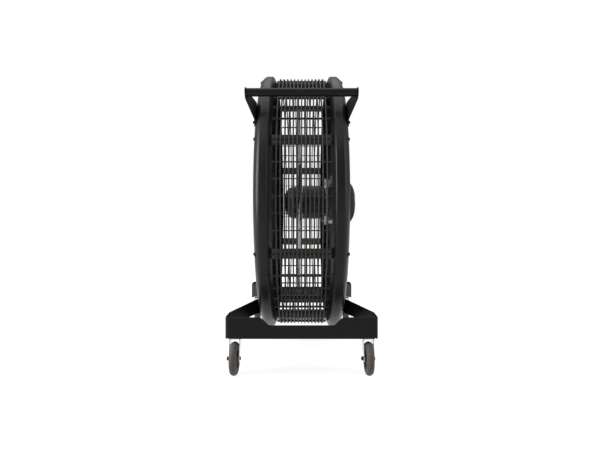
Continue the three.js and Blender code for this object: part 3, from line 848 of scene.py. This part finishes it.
def blade_form(hub_radius, tip):
    """A twisted, cambered blade that points to -Y from the hub, as a thin closed sheet."""
    spans, chords = 30, 12
    root = hub_radius + 1.4 * MM
    sections = []
    for i in range(spans + 1):
        along = i / spans
        r = lerp(root, tip, along)
        chord = lerp(*BLADE_CHORDS, along) * MM
        corner = max(0.0, (along - 0.93) / 0.07)
        chord *= 1 - 0.22 * corner**2
        pitch = math.radians(lerp(*BLADE_PITCHES, along))
        lean, rise = math.cos(pitch), math.sin(pitch)
        skin = []
        for face in (1, -1):
            for j in range(chords + 1):
                t = j / chords if face > 0 else 1 - j / chords
                across = (t - 0.5) * chord
                thick = 1.6 * MM * math.sqrt(max(0.0, 1 - (2 * t - 1) ** 6)) + 0.1 * MM
                camber = 5 * MM * (1 - (2 * t - 1) ** 2) - 3.3 * MM
                x = camber + face * thick
                skin.append((x * lean - across * rise, -r, -(x * rise + across * lean)))
        sections.append(skin)
    return loft(sections)


def add_blades(hub_radius):
    tip = max(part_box(f"blade_{k + 1}")[1].z for k in range(BLADES)) - AXIS.z
    tip = math.floor(tip / MM) * MM
    first = None
    for k in range(BLADES):
        place = Matrix.Translation(AXIS) @ spin_x(BLADE_LEAD + k * 90) @ move(BLADE_PLANE, 0, 0)
        name, node = f"rotor_blade_{k + 1}", f"blade_{k + 1}"
        if first is None:
            form = Form().add(blade_form(hub_radius, tip))
            first = piece(name, form, "blade", "blade", "rotor", [node])
            first.matrix_world = place
            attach(first, "rotor")
        else:
            copy_of(first, name, "rotor", [node], place)
    arms = Form()
    for k in range(BLADES):
        arms_place = spin_x(BLADE_LEAD + k * 90) @ move(BLADE_PLANE, 0, 0)
        root, end = 6 * MM - hub_radius, -185 * MM
        outline = [(root, -24 * MM), (root, 24 * MM), (end, 15 * MM), (end, -15 * MM)]
        outline = rounded(outline, 8 * MM, 5)
        lean = Matrix.Rotation(math.radians(8), 4, "Y")
        arms.add(slab(outline, 3.2 * MM, 6.2 * MM, "X"), arms_place @ lean)
        for reach in (105, 138, 171):
            arms.add(button_head(6 * MM, 3.5 * MM), arms_place @ lean @ move(6.2 * MM, -reach * MM, 0))
    about_axis("blade_arms", arms, "oxide", "blade", "rotor", bevel=0.5 * MM)


# ---- Handle ----
HANDLE_ANGLE = 37.4
BRACKET_BOLT = 30.6
BRACKET_TAIL, BRACKET_HEAD = mm(32, 11)  # from the bolt circle inwards and outwards
HOOP_SLOPE = 0.139  # of the hoop's face, at the bolts


def add_handle():
    low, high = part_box("handle_bar")
    centre, radius = (low + high) / 2, (high.z - low.z) / 2
    rows = rounded(bar_rows(low.x, high.x, radius), mm(0, 1.5, 1.5, 0), 4)
    bar = piece("push_bar", Form().add(lathe(rows, 64)), "powder", "frame", "root", ["handle_bar"])
    bar.location = (0, centre.y, centre.z)
    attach(bar, "root")
    reach = math.hypot(centre.y - AXIS.y, centre.z - AXIS.z)
    for name, side in (("rear", 1), ("front", -1)):
        add_bracket(name, side, reach, radius)
        low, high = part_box(f"handle_bolt_{name}")
        tip = high.x if side > 0 else -low.x
        bolt = Form().add(button_head(HEAD_RADIUS, HEAD_HEIGHT), move(tip - HEAD_HEIGHT, 0, 0))
        bolt.add(lathe(bar_rows(tip - 26 * MM, tip - HEAD_HEIGHT, 5 * MM), 20))
        nodes = [f"handle_bolt_{name}"]
        shown = piece(f"handle_screw_{name}", bolt, "oxide", "fastener", "root", nodes)
        middle = (low + high) / 2
        shown.matrix_world = move(0, middle.y, middle.z) @ face_x(side)
        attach(shown, "root")


def add_bracket(name, side, reach, bar_radius):
    """A plate that hugs the hoop's face, cranks out and ends in a round pad on the bar's end."""
    plate = 4 * MM
    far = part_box("handle_bracket_rear")[1].x - plate / 2
    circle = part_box("rear_hoop")[1].y - BOLT_DROP
    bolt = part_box("handle_bolt_rear")[1].x - HEAD_HEIGHT - 2.3 * MM
    foot, knee, pad = circle - BRACKET_TAIL, circle + BRACKET_HEAD, bar_radius + 3.2 * MM
    crank = [(bolt + (circle - r) * HOOP_SLOPE, r) for r in (foot, knee)]
    crank += [(far, reach - 0.4 * pad), (far, reach + pad)]
    path = resample(rounded(crank, mm(0, 20, 26, 0), 8, loop=False), 64)
    bolt_low = -math.radians(HANDLE_ANGLE - BRACKET_BOLT) * circle
    sections = []
    for x, up in path:
        if up > reach - 4 * MM:
            half = math.sqrt(max(pad**2 - (up - reach) ** 2, (1.5 * MM) ** 2))
            left, right = -half, half
        else:
            t = (reach - up) / (reach - circle)
            left = lerp(-pad, bolt_low - 12 * MM, min(t, 1.0))
            right = lerp(pad, 30 * MM, smooth(min(1.0, t * 1.3)))
            if up < circle:
                shrink = (circle - up) / (circle - foot)
                left = lerp(left, bolt_low + 8 * MM, shrink**1.5)
                right = lerp(right, 4 * MM, smooth(shrink))
        sections.append((x, up, left, right))
    form = Form().add(ribbon(sections, plate))
    nodes = [f"handle_bracket_{name}"]
    shown = piece(f"handle_plate_{name}", form, "powder", "frame", "root", nodes, bevel=0.9 * MM)
    place = Matrix.Translation(AXIS) @ spin_x(HANDLE_ANGLE)
    if side < 0:
        shown.data.transform(Matrix.Diagonal((-1, 1, 1, 1)))
        shown.data.flip_normals()
    shown.matrix_world = place
    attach(shown, "root")


def resample(path, count):
    """Points at even steps along a path."""
    points = [Vector(p) for p in path]
    lengths = [0.0]
    for a, b in zip(points, points[1:]):
        lengths.append(lengths[-1] + (b - a).length)
    result = []
    k = 0
    for i in range(count + 1):
        at = lengths[-1] * i / count
        while k < len(points) - 2 and lengths[k + 1] < at:
            k += 1
        share = (at - lengths[k]) / max(lengths[k + 1] - lengths[k], 1e-9)
        result.append(tuple(points[k].lerp(points[k + 1], min(share, 1.0))))
    return result


def ribbon(rows, thickness, across=6):
    """A bent plate from (x, reach, left, right) rows, in a frame where -Y is outwards."""
    sections = []
    for i, (x, up, left, right) in enumerate(rows):
        before, after = rows[max(i - 1, 0)], rows[min(i + 1, len(rows) - 1)]
        along = Vector((after[0] - before[0], after[1] - before[1])).normalized()
        normal = Vector((along.y, -along.x)) * (thickness / 2)
        skin = []
        for face in (1, -1):
            for j in range(across + 1):
                t = j / across if face > 0 else 1 - j / across
                skin.append((x + face * normal.x, -(up + face * normal.y), lerp(left, right, t)))
        sections.append(skin)
    return loft(sections)


# ---- Feet ----
FOOT_PLATE = 5 * MM
FOOT_TOP = 222 * MM
FOOT_SIDE = 96 * MM  # how far back the sides run before they turn to the tabs
DIP, DIP_START, DIP_RUN = mm(30, 122, 31.5)  # the lower middle of the top edge
LUG_HALF, LUG_DEPTH = mm(26, 20)  # the rounded bottom of a tab
ARM_BEND = 0.65  # the share of an arm where its lower edge flattens out
SHELF_LOW, SHELF_HIGH, SHELF_DEPTH = mm(155, 160, 94)


def foot_path(low, high, tab_x, tab_y, tab_end):
    """The foot's plan from its middle to the end of one tab, as (x, y) on the plate's centre."""
    end_x, face_y = high.x - FOOT_PLATE / 2, low.y + FOOT_PLATE / 2
    side_end = low.y + FOOT_SIDE
    plan = [(0, face_y), (end_x, face_y), (end_x, side_end), (tab_x, tab_y), (tab_x, tab_end)]
    return refine(rounded(plan, mm(0, 11, 22, 22, 0), 8, loop=False), 9 * MM)


def refine(path, step):
    """The same path with extra points on its long stretches."""
    result = [path[0]]
    for a, b in zip(path, path[1:]):
        count = max(1, math.ceil((Vector(b) - Vector(a)).length / step))
        result += [tuple(Vector(a).lerp(Vector(b), k / count)) for k in range(1, count + 1)]
    return result


def foot_form():
    low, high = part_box("foot_near")
    rod_low, rod_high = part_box("tie_rod_6")
    rod = (rod_low + rod_high) / 2
    tab_x = rod_high.x - HEAD_HEIGHT - 0.3 * MM - 2.5 * MM
    tab_y, tab_end = -abs(rod.y) - 31 * MM, -abs(rod.y) + 27 * MM
    side_end = low.y + FOOT_SIDE
    bottom, arm_top = low.z, high.z
    half = foot_path(low, high, tab_x, tab_y, tab_end)
    path = [(-x, y) for x, y in half[:0:-1]] + half
    rows = []
    for x, y in path:
        side = abs(x)
        if y < low.y + 4 * MM:
            dip = DIP * (1 - min(max((side - DIP_START) / DIP_RUN, 0), 1))
            rows.append((x, y, bottom + max(0.0, side - (high.x - 14 * MM)), FOOT_TOP - dip))
        elif y < side_end:
            t = (y - low.y) / (side_end - low.y)
            rows.append((x, y, bottom + 2 * MM * smooth(t), FOOT_TOP))
        else:
            t = min((y - side_end) / (tab_y - side_end), 1.0)
            under = lerp(bottom + 2 * MM, rod.z - 2 * MM, min(t / ARM_BEND, 1))
            under += 5 * MM * max(t - ARM_BEND, 0) / (1 - ARM_BEND)
            lug = LUG_DEPTH * math.sqrt(max(0.0, 1 - ((y + abs(rod.y)) / LUG_HALF) ** 2))
            rows.append((x, y, min(under, under + 2 * MM - lug), lerp(FOOT_TOP, arm_top, t)))
    return loft(plate_sections(rows, FOOT_PLATE))


def plate_sections(rows, thickness, rise=4):
    """Sections of an upright plate from (x, y, bottom, top) rows along its plan."""
    sections = []
    for i, (x, y, bottom, top) in enumerate(rows):
        before, after = rows[max(i - 1, 0)], rows[min(i + 1, len(rows) - 1)]
        along = Vector((after[0] - before[0], after[1] - before[1])).normalized()
        into = Vector((rows[i][0] - before[0], rows[i][1] - before[1]))
        stretch = 1.0 if into.length < 1e-9 else 1 / max(along.dot(into.normalized()), 0.7)
        normal = Vector((along.y, -along.x)) * (thickness / 2 * stretch)
        ring = []
        for face in (1, -1):
            for j in range(rise + 1):
                t = j / rise if face > 0 else 1 - j / rise
                ring.append((x + face * normal.x, y + face * normal.y, lerp(bottom, top, t)))
        sections.append(ring)
    return sections


def add_feet():
    low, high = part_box("foot_near")
    form = Form().add(foot_form())
    inset = FOOT_PLATE + 0.2 * MM
    shelf = corners(inset - high.x, low.y + inset, high.x - inset, low.y + SHELF_DEPTH)
    form.add(slab(rounded(shelf, mm(15, 15, 2, 2), 6), SHELF_LOW, SHELF_HIGH))
    first = piece("foot_plate_near", form, "powder", "frame", "root", ["foot_near"], bevel=1.2 * MM)
    copy_of(first, "foot_plate_far", "root", ["foot_far"], Matrix.Rotation(math.pi, 4, "Z"))


# ---- Casters ----
WHEEL_RADIUS = 62.5 * MM
WHEEL_HALF = 16 * MM
TRAIL = 30 * MM
AXLE_RADIUS = 4.9 * MM
# From the tyre's side to its crest: millimetres from the middle, and shares of the wheel's radius.
TYRE_HALF = (
    (11, 0.66), (13.5, 0.72), (14.5, 0.80), (13.2, 0.88),
    (10, 0.945), (5.6, 0.985), (2.6, 0.997), (0, 1),
)


def tyre_form():
    half = [(x * MM, WHEEL_RADIUS * share) for x, share in TYRE_HALF]
    bore = WHEEL_RADIUS * 0.64
    outline = half + [(-x, r) for x, r in half[-2::-1]] + [(-10 * MM, bore), (10 * MM, bore)]
    return Form().add(lathe(outline, 96, loop=True))


def core_form():
    radius = WHEEL_RADIUS * 0.655
    half = [(WHEEL_HALF + x, r) for x, r in in_mm((0.1, 5.4), (0.1, 12), (-1, 14))]
    half += in_mm((7, 16), (5, 19))
    half += [(x, radius - down) for x, down in in_mm((5, 7), (8, 4.5), (12.5, 3), (13, 0))]
    outline = half + [(-x, r) for x, r in reversed(half)]
    core = Form().add(lathe(outline, 72, loop=True))
    near, far = 13 * MM, radius - 3.5 * MM
    spoke = [(-2 * MM, near), (2 * MM, near), (1.6 * MM, far), (-1.6 * MM, far)]
    for k in range(6):
        core.add(slab(spoke, -11 * MM, 11 * MM, "X"), spin_x(k * 60))
    return core


def fork_form():
    top = 2 * WHEEL_RADIUS + 12 * MM
    inner, outer = WHEEL_HALF + 0.7 * MM, WHEEL_HALF + 4.5 * MM
    leg = rounded(
        [
            (-27 * MM, top),
            (-29 * MM, top - 20 * MM),
            (-TRAIL - 14 * MM, WHEEL_RADIUS + 6 * MM),
            (-TRAIL - 11 * MM, WHEEL_RADIUS - 13 * MM),
            (-TRAIL + 11 * MM, WHEEL_RADIUS - 13 * MM),
            (-TRAIL + 16 * MM, WHEEL_RADIUS + 6 * MM),
            (24 * MM, top - 22 * MM),
            (25 * MM, top),
        ],
        mm(6, 10, 14, 11, 11, 14, 16, 6),
        5,
    )
    form = Form()
    for side in (-1, 1):
        sides = sorted((side * inner, side * outer))
        form.add(slab(leg, *sides, "X"))
    bridge = rounded(corners(-outer, -27 * MM, outer, 25 * MM), 5 * MM, 4)
    form.add(slab(bridge, top - 4.2 * MM, top))
    race = [(top - 1 * MM, 0), (top - 1 * MM, 22 * MM), (top + 0.1 * MM, 23 * MM), (top + 0.1 * MM, 0)]
    form.add(lathe(race, 48), Matrix.Rotation(-math.pi / 2, 4, "Y"))
    return form


def mount_form():
    shelf = 154.7 * MM
    form = Form()
    plate = rounded(corners(*mm(-25, -38, 25, 38)), 6 * MM, 5)
    form.add(slab(plate, shelf - 4 * MM, shelf))
    upright = Matrix.Rotation(-math.pi / 2, 4, "Y")
    race = in_mm((137.3, 0), (137.3, 16), (139.5, 20), (142.5, 22.5), (145.5, 22), (147.5, 18.5))
    race += [(shelf - 3.5 * MM, 18 * MM), (shelf - 3.5 * MM, 0)]
    form.add(lathe(race, 56), upright)
    pin = in_mm((128, 0), (128, 7), (130.5, 8.5), (132.6, 8.5), (138, 5), (138, 0))
    form.add(lathe(pin, 24), upright)
    downward = Matrix.Rotation(math.pi / 2, 4, "Y")
    for x in (-18, 18):
        for y in (-31, 31):
            form.add(hex_head(5.5 * MM, 4.5 * MM, 1.25), move(x * MM, y * MM, shelf - 4 * MM) @ downward)
    return form


def axle_form():
    seat = WHEEL_HALF + 4.8 * MM
    form = Form().add(lathe(bar_rows(-seat, seat, AXLE_RADIUS), 24))
    form.add(hex_head(7.5 * MM, 6.5 * MM, 1.2), move(-seat, 0, 0) @ FACE_BACK)
    form.add(hex_head(7 * MM, 2.6 * MM, 1.15, 0.6 * MM), move(seat, 0, 0))
    return form


def add_casters():
    kinds = [
        ("caster_swivel", mount_form(), "bright", "caster_steel", "root", "caster_mount", 0.5 * MM),
        ("caster_yoke", fork_form(), "bright", "caster_steel", "caster", "caster_fork", 0.8 * MM),
        ("caster_bolt", axle_form(), "oxide", "caster_steel", "caster", "axle", 0.0),
        ("caster_tyre", tyre_form(), "tyre", "tyre", "wheel_body", "wheel", 0.0),
        ("caster_core", core_form(), "core", "tyre", "wheel_body", None, 0.4 * MM),
    ]
    for kind, form, look, slot, group, node, bevel in kinds:
        first = None
        for k in CASTERS:
            pivot = Vector(JOINTS[f"caster_swivel_{k}"]["pos_m"])
            wheel = Vector(JOINTS[f"wheel_roll_{k}"]["pos_m"])
            at = Vector((pivot.x, pivot.y, 0)) if node in ("caster_mount", "caster_fork") else wheel
            body = "root" if group == "root" else f"{group}_{k}"
            nodes = [f"{node}_{k}"] if node else []
            if first is None:
                first = piece(f"{kind}_{k}", form, look, slot, body, nodes, bevel=bevel)
                first.matrix_world = Matrix.Translation(at)
                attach(first, body)
            else:
                copy_of(first, f"{kind}_{k}", body, nodes, Matrix.Translation(at))


# ---- Studio ----
def studio_surface():
    made = bpy.data.materials.new("studio_paper")
    made.use_nodes = True
    tree = made.node_tree
    noise = node(tree, "TexNoise", {"Scale": 3.0}).outputs["Fac"]
    values = {"A": (0.20, 0.20, 0.20, 1), "B": (0.24, 0.24, 0.24, 1), "Factor": noise}
    mix = node(tree, "Mix", values, data_type="RGBA")
    values = {
        "Roughness": 0.9,
        "Specular IOR Level": 0.1,
        "Emission Color": (1, 1, 1, 1),
        "Emission Strength": 0.88,
        "Base Color": mix.outputs["Result"],
    }
    fill(tree, tree.nodes["Principled BSDF"], values)
    return made


def add_studio():
    """A very large pale floor, so that it meets the pale world without a visible edge."""
    reach = 60.0
    mesh = bpy.data.meshes.new("studio_floor")
    verts = [(x, y, 0) for x, y in corners(-reach, -reach, reach, reach)]
    mesh.from_pydata(verts, [], [(0, 1, 2, 3)])
    mesh.materials.append(studio_surface())
    stage = bpy.data.objects.new("studio_floor", mesh)
    bpy.context.scene.collection.objects.link(stage)


def add_light(name, at, target, size, power):
    light = bpy.data.lights.new(name, "AREA")
    light.shape = "RECTANGLE"
    light.size, light.size_y = size
    light.energy = power
    lamp = bpy.data.objects.new(name, light)
    lamp.location = at
    lamp.rotation_euler = (Vector(target) - Vector(at)).to_track_quat("-Z", "Y").to_euler()
    bpy.context.scene.collection.objects.link(lamp)


def add_world(seen, lit):
    """A white world that is brighter to the camera than it is as a light."""
    world = bpy.data.worlds.new("studio_world")
    world.use_nodes = True
    tree = world.node_tree
    rays = node(tree, "LightPath", {}).outputs["Is Camera Ray"]
    values = {"To Min": lit, "To Max": seen, "Value": rays}
    strength = node(tree, "MapRange", values).outputs["Result"]
    fill(tree, tree.nodes["Background"], {"Color": (1, 1, 1, 1), "Strength": strength})
    bpy.context.scene.world = world


def add_sun(strength):
    """A wide soft light from straight above, even over the whole floor."""
    light = bpy.data.lights.new("ceiling", "SUN")
    light.energy = strength
    light.angle = math.radians(90)
    lamp = bpy.data.objects.new("ceiling", light)
    lamp.location = (0, 0, 5)
    bpy.context.scene.collection.objects.link(lamp)


def add_lights():
    add_world(1.0, 0.4)
    add_sun(2.0)
    middle = (0, 0, 0.6)
    add_light("left_softbox", (-3.2, -0.9, 1.6), middle, (1.0, 2.6), 170)
    add_light("right_softbox", (3.2, -0.9, 1.6), middle, (1.0, 2.6), 35)


def add_camera():
    camera = bpy.data.cameras.new("camera")
    camera.sensor_width = 36
    camera.lens = 26.67
    camera.shift_x = -0.0027
    camera.shift_y = -0.0057
    seat = bpy.data.objects.new("camera", camera)
    seat.location = (0, -2.156, 0.580)
    seat.rotation_euler = (math.pi / 2, 0, 0)
    bpy.context.scene.collection.objects.link(seat)
    bpy.context.scene.camera = seat
    bpy.context.scene.view_settings.view_transform = "Standard"


add_camera()
add_hoops()
add_panels()
add_tie_rods()
add_guards()
add_rear_cover()
add_motor()
add_motor_mount()
add_rotor()
add_handle()
add_feet()
add_casters()
add_studio()
add_lights()
